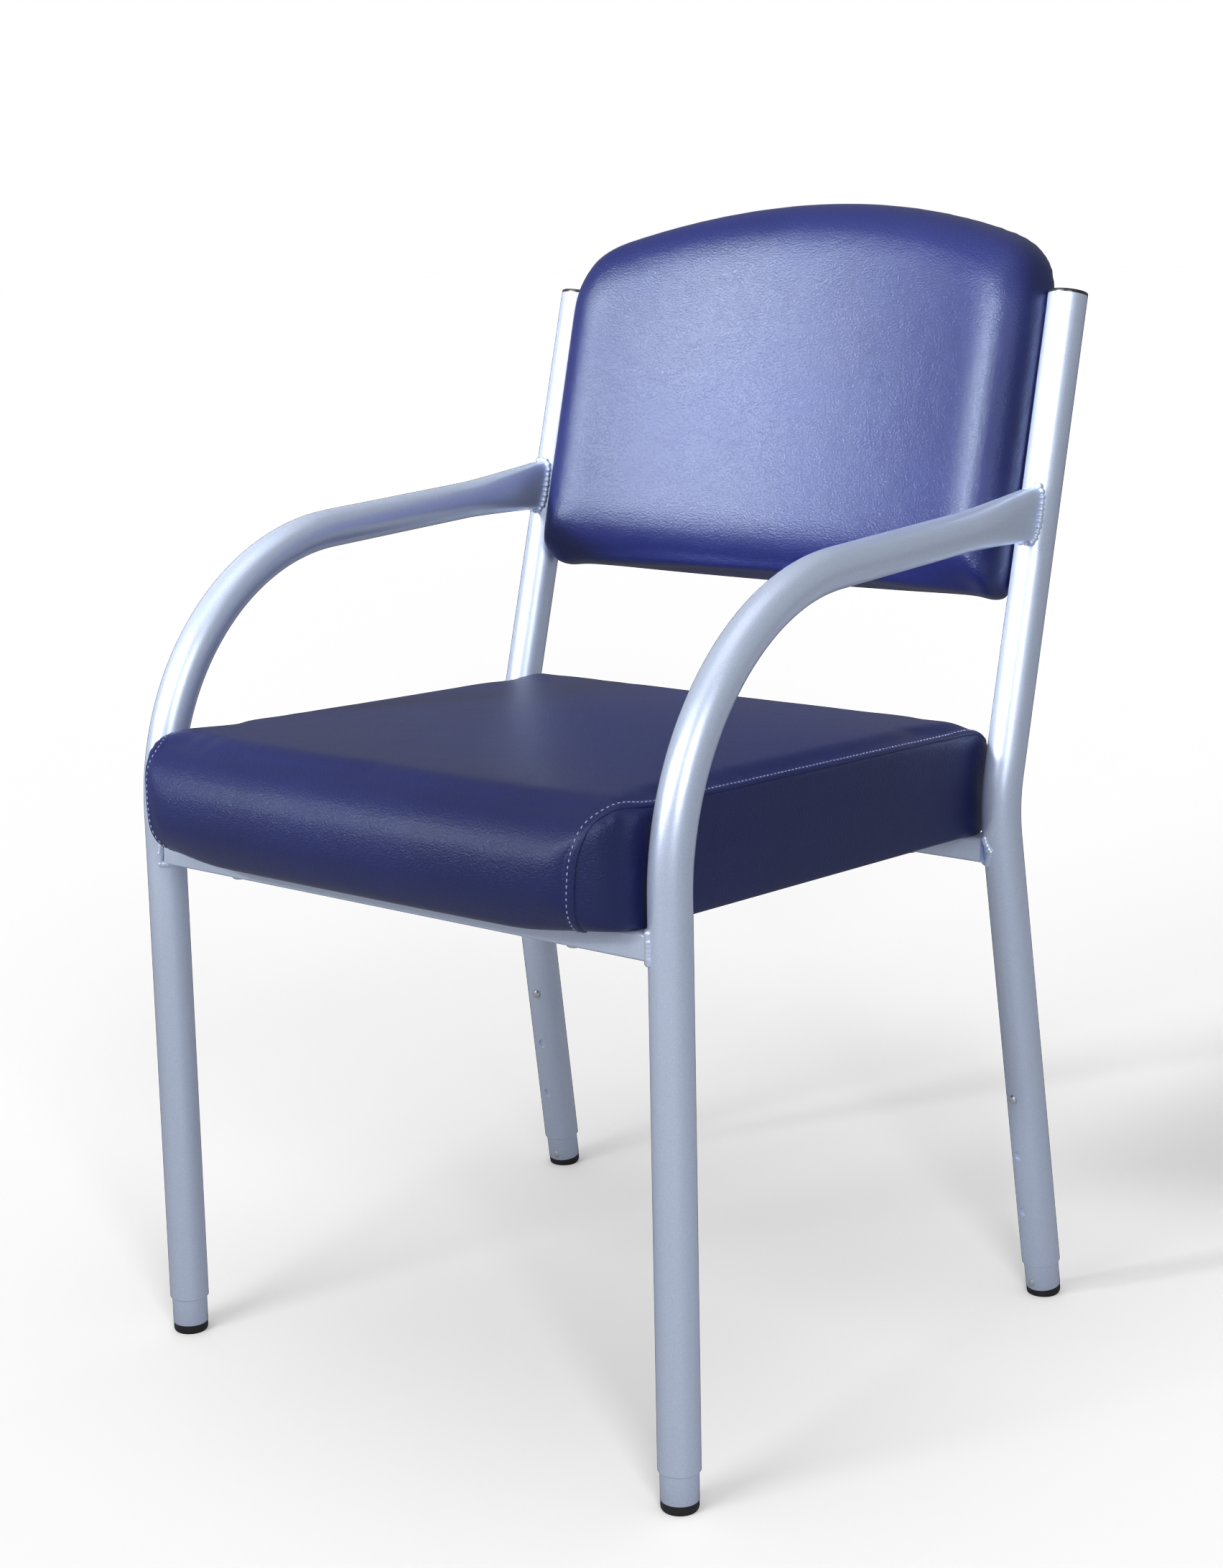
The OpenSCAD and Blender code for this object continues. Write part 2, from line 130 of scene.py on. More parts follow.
class Finish:
    """A material in the making: its Principled shader and the nodes that feed it."""

    def __init__(self, name, **constants):
        self.material = bpy.data.materials.new(name)
        self.material.use_nodes = True
        self.tree = self.material.node_tree
        self.shader = self.tree.nodes["Principled BSDF"]
        self.place = self.node("ShaderNodeTexCoord", out="Object")
        for pin, value in constants.items():
            self.shader.inputs[pin.replace("_", " ")].default_value = value

    def node(self, kind, settings=None, out=None, **pins):
        """Adds one node with its settings, fills its pins and returns one output."""
        node = self.tree.nodes.new(kind)
        for key, value in (settings or {}).items():
            setattr(node, key, value)
        for key, value in pins.items():
            pin = next(p for p in node.inputs if p.name == key.replace("_", " ") and p.enabled)
            feed(pin, value)
        found = [o for o in node.outputs if o.enabled and (out is None or o.name == out)]
        return Value(found[0])

    def stretched(self, scale):
        """The place on the piece, with each axis scaled by its own amount."""
        return self.node("ShaderNodeMapping", Vector=self.place, Scale=scale)

    def noise(self, scale, detail=2, where=None):
        return self.node(
            "ShaderNodeTexNoise", Vector=where or self.place, Scale=scale, Detail=detail, out="Fac"
        )

    def tinted(self, factor, low, high):
        """A colour between low and high."""
        return self.node(
            "ShaderNodeMix",
            {"data_type": "RGBA"},
            out="Result",
            Factor=factor,
            A=(*low, 1),
            B=(*high, 1),
        )

    def bumped(self, height, distance, under=None):
        """A normal that follows a height, on top of the bumps under it."""
        pins = {"Normal": under} if under else {}
        return self.node("ShaderNodeBump", Height=height, Distance=distance, **pins)

    def surface(self, **pins):
        """Feeds the shader's sockets and gives back the finished material."""
        for pin, value in pins.items():
            feed(self.shader.inputs[pin.replace("_", " ")], value)
        return self.material


def floor_paint():
    finish = Finish("floor_paint", Roughness=0.6)
    mottle = finish.noise(3, 2).between(0.3, 0.7)
    return finish.surface(Base_Color=finish.tinted(mottle, (0.56, 0.56, 0.57), (0.60, 0.60, 0.61)))


def new_piece(bm, name, material, body):
    """Turns a bmesh into a piece that rides on a body and shares a material slot."""
    mesh = bpy.data.meshes.new(name)
    bm.to_mesh(mesh)
    bm.free()
    piece = bpy.data.objects.new(name, mesh)
    bpy.context.scene.collection.objects.link(piece)
    mesh.materials.append(material)
    if body:
        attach(piece, body)
    return piece


add_camera()
add_lamp("key", (-0.3, -2.7, 2.3), (0, 0, 0.6), (1.3, 1.3), 25, (1, 0.99, 0.97))
add_lamp("upper", (-1.12, -2.08, 1.62), (0, 0.16, 0.78), (0.5, 0.6), 3.6, (0.95, 0.98, 1), 22)
add_lamp("fill", (1.75, -1.6, 1.6), (0, 0, 0.45), (0.6, 0.8), 18, (0.95, 0.97, 1))
add_lamp("top", (0.1, -0.4, 3.0), (0, 0, 0), (2.0, 2.0), 9, (1, 1, 1))
world = bpy.data.worlds.new("studio")
world.use_nodes = True
nodes, links = world.node_tree.nodes, world.node_tree.links
glow = nodes["Background"]
glow.inputs["Color"].default_value = (0.93, 0.96, 1, 1)
glow.inputs["Strength"].default_value = 0.35
backdrop = nodes.new("ShaderNodeBackground")
backdrop.inputs["Color"].default_value = (1, 1, 1, 1)
rays = nodes.new("ShaderNodeLightPath")
either = nodes.new("ShaderNodeMixShader")
links.new(rays.outputs["Is Camera Ray"], either.inputs["Fac"])
links.new(glow.outputs[0], either.inputs[1])
links.new(backdrop.outputs[0], either.inputs[2])
links.new(either.outputs[0], nodes["World Output"].inputs["Surface"])
bpy.context.scene.world = world
bpy.context.scene.view_settings.view_transform = "Standard"
floor_mesh = bmesh.new()
bmesh.ops.create_grid(floor_mesh, x_segments=4, y_segments=4, size=30)
floor = new_piece(floor_mesh, "floor", floor_paint(), None)
floor.is_shadow_catcher = True

# ---------------------------------------------------------------- frame tubes
# Round steel tube, bent cold and powder coated a fine silver. Each arm runs down into its
# front leg; each back post runs down into its rear leg. Three holes a leg take the snap button.
TUBE_R = 0.0159
TUBE_WALL = 0.0015
TUBE_END = 0.030
END_CHAMFER = 0.0008
AROUND = 48
CENTRE_Y = 0.26926
HOLE_R = 0.0042
TOP_HOLE = 0.1864
HOLE_PITCH = 0.0525
HOLES = [TOP_HOLE - HOLE_PITCH * k for k in range(3)]
FRONT_FOOT = Vector((0.2636, 0, 0))
ARM_CORNER = Vector((0.262, 0.0071, 0.6483))
ARM_END = Vector((0.262, 0.478, 0.6681))
ARM_BEND_R = 0.209
REAR_FOOT = Vector((0.2713, 0.4925, 0))
KNEE = Vector((0.2626, 0.4307, 0.437))
POST_TOP = Vector((0.2591, 0.5363, 0.8384))
KNEE_BEND_R = 0.130
HOLE_TURN = math.radians(11)
REAR_FACING = Vector((-math.sin(HOLE_TURN), -math.cos(HOLE_TURN), 0))
FRONT_FACING = Vector((0, 1, 0))
PRESS_L = 0.092
PRESS_STEPS = 24
PRESS_EASE = 1.25
FLAT_L = 0.026
FLAT_T = 0.015
FLAT_H = 0.042
FLAT_SQUARENESS = 0.45


def silver_paint():
    finish = Finish("silver_paint", Metallic=0.55, Coat_Weight=0.25, Coat_Roughness=0.2)
    flake = finish.node("ShaderNodeTexVoronoi", Vector=finish.place, Scale=1900, out="Distance")
    sparkle = finish.noise(2600, 0)
    cloud = finish.noise(14, 3).between(0.3, 0.7)
    peel = finish.noise(420, 1)
    base = finish.tinted(sparkle.between(0.35, 0.7), (0.595, 0.675, 0.87), (0.745, 0.83, 1.0))
    return finish.surface(
        Base_Color=base,
        Roughness=0.29 + cloud * 0.05 + flake * 0.08,
        Normal=finish.bumped(peel, 0.00006, finish.bumped(flake, 0.00004)),
    )


SILVER = silver_paint()


def upright(foot, above, facing):
    """Axes on a leg: Z up the leg, X the way its button faces, origin at the sole."""
    up = (above - foot).normalized()
    ahead = (facing - up * facing.dot(up)).normalized()
    axes = Matrix((ahead, up.cross(ahead), up)).transposed().to_4x4()
    return Matrix.Translation(foot - Vector((0, CENTRE_Y, 0))) @ axes


def bend_stations(start, corner, end, radius, heights, steps):
    """Axes along a tube: at the given heights up its leg, round its bend, then to its end."""
    onward = (end - corner).normalized()
    leg_up = start.col[2].to_3d()
    angle = leg_up.angle(onward)
    cut = radius * math.tan(angle / 2)
    corner = corner - Vector((0, CENTRE_Y, 0))
    straight = (corner - start.translation).length - cut
    axis = leg_up.cross(onward).normalized()
    inwards = (onward - leg_up * onward.dot(leg_up)).normalized()
    bend_start = start @ Matrix.Translation((0, 0, straight))
    centre = bend_start.translation + inwards * radius
    stations = [start @ Matrix.Translation((0, 0, h)) for h in heights if h < straight - 0.004]
    for step in range(steps + 1):
        turn = Matrix.Rotation(angle * step / steps, 4, axis)
        stations.append(
            Matrix.Translation(centre) @ turn @ Matrix.Translation(-centre) @ bend_start
        )
    return stations


def wrapped(rows, around, place):
    """Closed rings of points, place(row, k) each, skinned from the first row to the last."""
    bm = bmesh.new()
    bmesh.ops.create_grid(bm, x_segments=around, y_segments=rows - 1, size=1)
    for v in bm.verts:
        turn = round((v.co.x + 1) / 2 * around)
        row = round((v.co.y + 1) / 2 * (rows - 1))
        v.co = place(row, turn % around)
    bmesh.ops.remove_doubles(bm, verts=bm.verts, dist=1e-6)
    return bm


def skin(stations, section):
    """The outside of a tube: one ring of points a station, placed by section(station, angle)."""
    return wrapped(
        len(stations),
        AROUND,
        lambda row, k: stations[row] @ Vector((*section(row, math.tau * k / AROUND), 0)),
    )


def drill(bm, leg, height):
    """Opens a round hole in the skin where the leg's X axis comes out, at that height: the
    points well inside it go, and those about its edge move on to its rim."""
    inverse = leg.inverted()
    inside = []
    for v in bm.verts:
        at = inverse @ v.co - Vector((0, 0, height))
        off = max(abs(at.y), abs(at.z)) / HOLE_R
        if at.x > 0 and off < 0.8:
            inside.append(v)
        elif at.x > 0 and off < 1.02:
            away = math.hypot(at.y, at.z)
            y, z = at.y * HOLE_R / away, at.z * HOLE_R / away
            v.co = leg @ Vector((math.sqrt(TUBE_R**2 - y * y), y, z + height))
    bmesh.ops.delete(bm, geom=inside, context="VERTS")


def leg_heights():
    """Where a leg's rings go: a chamfered end, then four close rows at each hole."""
    step = HOLE_R / 2
    rows = [0, END_CHAMFER, 0.004, 0.02]
    for hole in reversed(HOLES):
        rows += [hole - TUBE_END + k * step for k in (-5, -3, -2, -1, 0, 1, 2, 3, 5)]
    return rows + [0.18, 0.22, 0.28, 0.34, 0.40]


def round_tube(row, angle):
    radius = TUBE_R - END_CHAMFER if row == 0 else TUBE_R
    return radius * math.cos(angle), radius * math.sin(angle)


def shade(piece, degrees=35):
    """Smooth shading that keeps the edges sharper than the angle."""
    piece.data.shade_smooth()
    piece.data.set_sharp_from_angle(angle=math.radians(degrees))


def settle(piece):
    """Applies the piece's modifiers to its mesh."""
    view = bpy.context.evaluated_depsgraph_get()
    view.update()
    settled = bpy.data.meshes.new_from_object(piece.evaluated_get(view))
    piece.modifiers.clear()
    piece.data = settled


def walled(bm, name, material, body):
    """Gives a skin its wall, inwards, and makes it a piece."""
    bmesh.ops.recalc_face_normals(bm, faces=bm.faces)
    piece = new_piece(bm, name, material, body)
    thick = piece.modifiers.new("wall", "SOLIDIFY")
    thick.thickness = TUBE_WALL
    thick.offset = -1
    settle(piece)
    shade(piece)
    return piece


def across(side, vector):
    return Vector((side * vector.x, vector.y, vector.z))


def arm_stations(side):
    """An arm's axes from its front leg to its flat rear end, and how many rows stay round."""
    leg = upright(*(across(side, v) for v in (FRONT_FOOT, ARM_CORNER, FRONT_FACING)))
    start = leg @ Matrix.Translation((0, 0, TUBE_END))
    corner, end = across(side, ARM_CORNER), across(side, ARM_END)
    stations = bend_stations(start, corner, end, ARM_BEND_R, leg_heights(), 40)
    last = stations[-1]
    run = (end - Vector((0, CENTRE_Y, 0)) - last.translation).length
    press = run - PRESS_L - FLAT_L + TUBE_R
    places = [0.03, press * 0.6, press]
    places += [press + PRESS_L * k / PRESS_STEPS for k in range(1, PRESS_STEPS + 1)]
    places += [press + PRESS_L + flat for flat in (0.004, 0.012, 0.020)]
    round_rows = len(stations) + 2
    stations += [last @ Matrix.Translation((0, 0, p)) for p in places]
    return leg, stations, round_rows


def arm_section(round_rows):
    """An arm's section: round, then pressed flat with ever squarer edges."""

    def section(row, angle):
        if row <= round_rows:
            return round_tube(row, angle)
        share = min((row - round_rows) / PRESS_STEPS, 1) ** PRESS_EASE
        half_h = TUBE_R + (FLAT_H / 2 - TUBE_R) * share
        half_t = TUBE_R + (FLAT_T / 2 - TUBE_R) * share
        power = 1 - FLAT_SQUARENESS * share
        c, s = math.cos(angle), math.sin(angle)
        x = half_h * math.copysign(abs(c) ** power, c)
        y = half_t * math.copysign(abs(s) ** power, s)
        return x, y

    return section


tubes = {}
legs = {}
for side, hand in ((1, "left"), (-1, "right")):
    leg, stations, round_rows = arm_stations(side)
    arm = skin(stations, arm_section(round_rows))
    for hole in HOLES:
        drill(arm, leg, hole)
    tubes["arm", side] = walled(arm, f"{hand}_arm", SILVER, "frame")
    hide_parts(f"{hand}_arm_tube")
    legs[f"front_{hand}"] = leg

    leg = upright(*(across(side, v) for v in (REAR_FOOT, KNEE, REAR_FACING)))
    start = leg @ Matrix.Translation((0, 0, TUBE_END))
    corner, end = across(side, KNEE), across(side, POST_TOP)
    stations = bend_stations(start, corner, end, KNEE_BEND_R, leg_heights(), 14)
    last = stations[-1]
    run = (end - Vector((0, CENTRE_Y, 0)) - last.translation).length
    stations += [last @ Matrix.Translation((0, 0, run * k / 6)) for k in range(1, 7)]
    post = skin(stations, round_tube)
    for hole in HOLES:
        drill(post, leg, hole)
    tubes["post", side] = walled(post, f"{hand}_post", SILVER, "frame")
    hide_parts(f"{hand}_post_tube")
    legs[f"rear_{hand}"] = leg

# ---------------------------------------------------------------- seat rails
# Two lengths of rectangular steel tube, front and rear, welded between the side frames and
# painted with them. The seat is screwed down on them.
SEAT_TILT = math.radians(2.4)
SEAT_Z = 0.4275
RAIL_W = 0.025
RAIL_H = 0.020
RAIL_HALF = 0.2505
RAIL_EDGE_R = 0.0025
REAR_RAIL_V = 0.429
FRONT_RAIL_Y = ARM_CORNER.y * SEAT_Z / ARM_CORNER.z
SEAT = Matrix.Translation((0, FRONT_RAIL_Y - CENTRE_Y, SEAT_Z)) @ Matrix.Rotation(-SEAT_TILT, 4, "X")


def seat_rail(v, name, node):
    bm = bmesh.new()
    size = Matrix.Diagonal((2 * RAIL_HALF, RAIL_W, RAIL_H, 1))
    bmesh.ops.create_cube(bm, size=1, matrix=SEAT @ Matrix.Translation((0, v, -RAIL_H / 2)) @ size)
    long_edges = [e for e in bm.edges if abs(e.verts[0].co.x - e.verts[1].co.x) > RAIL_HALF]
    bmesh.ops.bevel(
        bm,
        geom=long_edges,
        offset=RAIL_EDGE_R,
        segments=4,
        profile=0.5,
        affect="EDGES",
        material=-1,
    )
    rail = new_piece(bm, name, SILVER, "frame")
    shade(rail)
    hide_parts(node)


seat_rail(0, "front_seat_rail", "front_rail")
seat_rail(REAR_RAIL_V, "rear_seat_rail", "rear_rail")

# ---------------------------------------------------------------- weld beads
# The ripples of a hand-laid weld, painted over: round each flat arm end where it meets its
# post, and round the rails' ends.
BEAD_R = 0.0030
BEAD_SIZES = (0.88, 1.14)
BEAD_VOXEL = 0.0006
ARM_BEAD_PITCH = 0.0047
ARM_BEAD_OUT = 1.07
FLAT_SET_BACK = 0.02
RAIL_BEAD_PITCH = 0.0030
RAIL_BEAD_OUT = 0.0004
RAIL_INSIDE = 0.2


def tree_of(piece):
    """A piece's surface, ready for rays and for the nearest point on it."""
    return BVHTree.FromPolygons(
        [v.co.copy() for v in piece.data.vertices], [list(p.vertices) for p in piece.data.polygons]
    )


def even(points, pitch, closed=True):
    """Points spaced evenly along a line of points."""
    run = points + points[:1] if closed else points
    lengths = [0]
    for a, b in zip(run, run[1:]):
        lengths.append(lengths[-1] + (b - a).length)
    count = max(2, round(lengths[-1] / pitch))
    spaced, k = [], 0
    for n in range(count if closed else count + 1):
        at = lengths[-1] * n / count
        while k < len(run) - 2 and lengths[k + 1] < at:
            k += 1
        span = lengths[k + 1] - lengths[k] or 1
        spaced.append(run[k].lerp(run[k + 1], (at - lengths[k]) / span))
    return spaced


def weld(name, outlines, pitch, seed):
    """Drops of metal along each outline, melted into one bead."""
    draw = random.Random(seed)
    bm = bmesh.new()
    for outline in outlines:
        for point in even(outline, pitch):
            drop = BEAD_R * draw.uniform(*BEAD_SIZES)
            place = Matrix.Translation(point)
            bmesh.ops.create_icosphere(bm, subdivisions=2, radius=drop, matrix=place)
    bead = new_piece(bm, name, SILVER, "frame")
    melt = bead.modifiers.new("melt", "REMESH")
    melt.mode = "VOXEL"
    melt.voxel_size = BEAD_VOXEL
    soften = bead.modifiers.new("soften", "SMOOTH")
    soften.factor = 0.5
    soften.iterations = 3
    settle(bead)
    shade(bead, 80)


def landed(piece, starts, direction):
    """Where rays from the starts land on a piece."""
    tree = tree_of(piece)
    hits = [tree.ray_cast(start, direction)[0] for start in starts]
    return [hit for hit in hits if hit]


def arm_end_outline(side, steps=64):
    """The outline of an arm's flat end, a little larger, laid on its post."""
    _, stations, round_rows = arm_stations(side)
    section = arm_section(round_rows)
    flat = stations[-3]
    starts = []
    for k in range(steps):
        x, y = section(len(stations), math.tau * k / steps)
        starts.append(flat @ (Vector((x, y, 0)) * ARM_BEAD_OUT - Vector((0, 0, FLAT_SET_BACK))))
    return landed(tubes["post", side], starts, flat.col[2].to_3d())


def rail_end_outline(v, tube, side, steps=8):
    """The outline of a rail's end, laid on the tube that it meets."""
    half_w, half_h = RAIL_W / 2 + RAIL_BEAD_OUT, RAIL_H / 2 + RAIL_BEAD_OUT
    corners = [(-half_w, -half_h), (half_w, -half_h), (half_w, half_h), (-half_w, half_h)]
    starts = []
    for (ay, az), (by, bz) in zip(corners, corners[1:] + corners[:1]):
        for k in range(steps):
            y, z = ay + (by - ay) * k / steps, az + (bz - az) * k / steps
            starts.append(SEAT @ Vector((side * RAIL_INSIDE, v + y, z - RAIL_H / 2)))
    return landed(tube, starts, Vector((side, 0, 0)))


for side, hand in ((1, "left"), (-1, "right")):
    weld(f"{hand}_arm_weld", [arm_end_outline(side)], ARM_BEAD_PITCH, 7 + side)
    ends = [
        rail_end_outline(0, tubes["arm", side], side),
        rail_end_outline(REAR_RAIL_V, tubes["post", side], side),
    ]
    weld(f"{hand}_rail_welds", ends, RAIL_BEAD_PITCH, 17 + side)

# ---------------------------------------------------------------- post caps
# Glossy black moulded plugs pushed into the open tops of the back posts: a rim as wide as the
# tube, with a low dome over it.
CAP_RIM = 0.0026
CAP_DOME = 0.0015
CAP_EDGE_R = 0.0008
PLUG_R = TUBE_R - 0.0017
PLUG_L = 0.016


def black_plastic():
    finish = Finish("black_plastic", Coat_Weight=0.2)
    mottle = finish.noise(160, 3)
    return finish.surface(
        Base_Color=finish.tinted(mottle, (0.012, 0.012, 0.014), (0.022, 0.022, 0.025)),
        Roughness=0.24 + mottle * 0.12,
        Normal=finish.bumped(finish.noise(900, 1), 0.00003),
    )


BLACK_PLASTIC = black_plastic()


def turned(bm, profile, place, segments=40):
    """Spins a profile of (radius, height) points round the Z axis of place."""
    points = [bm.verts.new((r, 0, z)) for r, z in profile]
    edges = [bm.edges.new(pair) for pair in zip(points, points[1:])]
    bmesh.ops.spin(
        bm,
        geom=points + edges,
        cent=(0, 0, 0),
        axis=(0, 0, 1),
        angle=math.tau,
        steps=segments,
        use_merge=True,
        use_duplicate=False,
    )
    bmesh.ops.remove_doubles(bm, verts=bm.verts, dist=1e-6)
    bmesh.ops.recalc_face_normals(bm, faces=bm.faces)
    bmesh.ops.transform(bm, matrix=place, verts=bm.verts)


def arc(centre, radius, start, end, steps):
    """Points of a profile along an arc, its angles in degrees."""
    turns = [math.radians(start + (end - start) * k / steps) for k in range(steps + 1)]
    return [(centre[0] + radius * math.cos(t), centre[1] + radius * math.sin(t)) for t in turns]


def low_dome(radius, base, rise, steps=6):
    """Profile points of a low dome, from its rim to its middle."""
    sphere = (radius**2 + rise**2) / (2 * rise)
    points = []
    for k in range(steps + 1):
        r = radius * (1 - k / steps)
        points.append((r, base + rise - sphere + math.sqrt(sphere**2 - r**2)))
    return points


for side, hand in ((1, "left"), (-1, "right")):
    top = upright(
        across(side, POST_TOP), across(side, POST_TOP + (POST_TOP - KNEE)), Vector((side, 0, 0))
    )
    bm = bmesh.new()
    profile = [(0, -PLUG_L), (PLUG_R, -PLUG_L), (PLUG_R, 0), (TUBE_R, 0)]
    profile += arc((TUBE_R - CAP_EDGE_R, CAP_RIM - CAP_EDGE_R), CAP_EDGE_R, 0, 80, 4)
    profile += low_dome(TUBE_R - 0.001, CAP_RIM, CAP_DOME)
    turned(bm, profile, top)
    cap = new_piece(bm, f"{hand}_cap", BLACK_PLASTIC, "frame")
    shade(cap, 50)
    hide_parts(f"{hand}_post_cap")

# ---------------------------------------------------------------- leg extensions
# A smaller tube in each leg, painted like the frame. A domed zinc button on a hairpin spring
# stands out through one of the leg's holes, and a rubber foot with a level sole is riveted in
# the lower end.
EXTENSION_R = 0.01432
EXTENSION_TOP = 0.240
EXTENSION_CHAMFER = 0.0004
FOOT_RIM = 0.0072
FOOT_R = EXTENSION_R - 0.0002
FOOT_EDGE_R = 0.0042
FOOT_PLUG_R = EXTENSION_R - 0.0017
FOOT_PLUG_TOP = 0.032
BUTTON_R = 0.004
BUTTON_OUT = 0.0028
FLANGE_R = 0.0054
FLANGE_T = 0.001
RIVET_Z = 0.0134
RIVET_HEAD_R = 0.0033
RIVET_SHANK_R = 0.0016


def zinc():
    finish = Finish("zinc", Metallic=1)
    cloud = finish.noise(300, 3)
    return finish.surface(
        Base_Color=finish.tinted(cloud, (0.62, 0.64, 0.68), (0.80, 0.82, 0.85)),
        Roughness=0.2 + cloud * 0.16,
        Normal=finish.bumped(finish.noise(2200, 1), 0.00002),
    )


def black_rubber():
    finish = Finish("black_rubber")
    dust = finish.noise(60, 4).between(0.45, 0.8)
    return finish.surface(
        Base_Color=finish.tinted(dust, (0.010, 0.010, 0.011), (0.035, 0.034, 0.034)),
        Roughness=0.62 + dust * 0.2,
        Normal=finish.bumped(finish.noise(700, 2), 0.00012),
    )


def spring_steel():
    finish = Finish("spring_steel", Metallic=1)
    drawn = finish.noise(500, 2, finish.stretched((1, 1, 0.05)))
    return finish.surface(
        Base_Color=finish.tinted(drawn, (0.36, 0.38, 0.41), (0.52, 0.54, 0.58)),
        Roughness=0.28 + drawn * 0.15,
    )


ZINC = zinc()
RUBBER = black_rubber()
SPRING_STEEL = spring_steel()


def extension_section(row, angle):
    radius = EXTENSION_R - EXTENSION_CHAMFER if row == 0 else EXTENSION_R
    return radius * math.cos(angle), radius * math.sin(angle)


def extension_tube(corner, leg, body):
    rings = [FOOT_RIM, FOOT_RIM + 0.0006, 0.03, 0.09, 0.15, 0.21, EXTENSION_TOP]
    inner = skin([leg @ Matrix.Translation((0, 0, z)) for z in rings], extension_section)
    extension = walled(inner, f"{corner}_extension_tube", SILVER, body)
    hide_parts(f"{corner}_leg")


def rubber_foot(corner, leg, body):
    """A plug in the extension with a rounded foot below it, cut off level at the floor."""
    profile = [(0, FOOT_PLUG_TOP), (FOOT_PLUG_R, FOOT_PLUG_TOP), (FOOT_PLUG_R, FOOT_RIM)]
    profile += [(FOOT_R, FOOT_RIM), (FOOT_R, 0.0032)]
    profile += arc((FOOT_R - FOOT_EDGE_R, 0.0030), FOOT_EDGE_R, 0, -62, 7)[1:]
    profile += [(0.004, -0.0022), (0, -0.0024)]
    bm = bmesh.new()
    turned(bm, profile, leg)
    cut = bmesh.ops.bisect_plane(
        bm,
        geom=bm.verts[:] + bm.edges[:] + bm.faces[:],
        plane_co=(0, 0, 0.00002),
        plane_no=(0, 0, 1),
        clear_inner=True,
    )
    bmesh.ops.holes_fill(bm, edges=[g for g in cut["geom_cut"] if isinstance(g, bmesh.types.BMEdge)])
    foot = new_piece(bm, f"{corner}_rubber_foot", RUBBER, body)
    shade(foot, 40)
    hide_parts(f"{corner}_foot")


def out_of_leg(leg, height):
    """Axes on a leg at a height, Z pointing the way its button faces."""
    return leg @ Matrix.Translation((0, 0, height)) @ Matrix.Rotation(math.pi / 2, 4, "Y")


def rivet_head(corner, leg, body):
    shank, under = EXTENSION_R - 0.003, EXTENSION_R - 0.0004
    profile = [(0, shank), (RIVET_SHANK_R, shank), (RIVET_SHANK_R, under)]
    profile += [(RIVET_HEAD_R, under), (RIVET_HEAD_R, EXTENSION_R + 0.0002)]
    profile += low_dome(RIVET_HEAD_R - 0.0002, EXTENSION_R + 0.0003, 0.0010)
    bm = bmesh.new()
    turned(bm, profile, out_of_leg(leg, RIVET_Z), 24)
    rivet = new_piece(bm, f"{corner}_rivet_head", ZINC, body)
    shade(rivet, 45)
    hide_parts(f"{corner}_rivet")


def snap_pin(corner, leg, body):
    """A button with a rounded tip, on a flange that stays inside the extension."""
    tip = TUBE_R + BUTTON_OUT
    flange = EXTENSION_R - 0.0027
    profile = [(0, flange), (FLANGE_R, flange), (FLANGE_R, flange + FLANGE_T)]
    profile += [(BUTTON_R, flange + FLANGE_T), (BUTTON_R, tip - 0.0022)]
    profile += arc((BUTTON_R - 0.0018, tip - 0.0022), 0.0018, 15, 65, 4)
    profile += low_dome(0.0026, tip - 0.0005, 0.0005, 3)[1:]
    bm = bmesh.new()
    turned(bm, profile, out_of_leg(leg, TOP_HOLE), 28)
    button = new_piece(bm, f"{corner}_snap_pin", ZINC, body)
    shade(button, 45)
    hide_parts(f"{corner}_button")


def dress(node, material):
    """Gives a CAD node that is shown its material."""
    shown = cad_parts[node]
    shown.data.materials.clear()
    shown.data.materials.append(material)


for corner, leg in legs.items():
    body = f"{corner}_extension"
    extension_tube(corner, leg, body)
    rubber_foot(corner, leg, body)
    rivet_head(corner, leg, body)
    snap_pin(corner, leg, f"{corner}_snap")
    dress(f"{corner}_clip", SPRING_STEEL)

# ---------------------------------------------------------------- vinyl and cushions
# Both pads are moulded foam on plywood under vinyl-coated fabric: fine leather grain, satin,
# pulled tight round the edges, so that the flats crown a little and the edges draw in.
VOXEL = 0.005
FRAMES = 20
PRESSURE = 4
SWELL = 0.0055
EDGE_SWELL = 0.15
EDGE_SINK = 0.2


def vinyl():
    finish = Finish(
        "vinyl",
        Coat_Weight=0.03,
        Coat_Roughness=0.38,
        Specular_IOR_Level=0.55,
        Specular_Tint=(0.74, 0.85, 1, 1),
    )
    pores = finish.node("ShaderNodeTexVoronoi", Vector=finish.place, Scale=950, out="Distance")
    crease = finish.noise(420, 3, finish.stretched((1, 1, 1.9)))
    rolls = finish.noise(46, 2)
    cloud = finish.noise(7, 3).between(0.3, 0.7)
    fleck = finish.noise(1500, 1)
    grain = finish.bumped(pores, 0.00014, finish.bumped(crease, 0.00042))
    return finish.surface(
        Base_Color=finish.tinted(
            cloud * 0.7 + fleck * 0.3, (0.0058, 0.0085, 0.073), (0.0098, 0.0140, 0.104)
        ),
        Roughness=0.355 + crease * 0.09 + cloud * 0.03,
        Normal=finish.bumped(rolls, 0.0004, grain),
    )


VINYL = vinyl()


def clamped(share):
    return min(max(share, 0), 1)


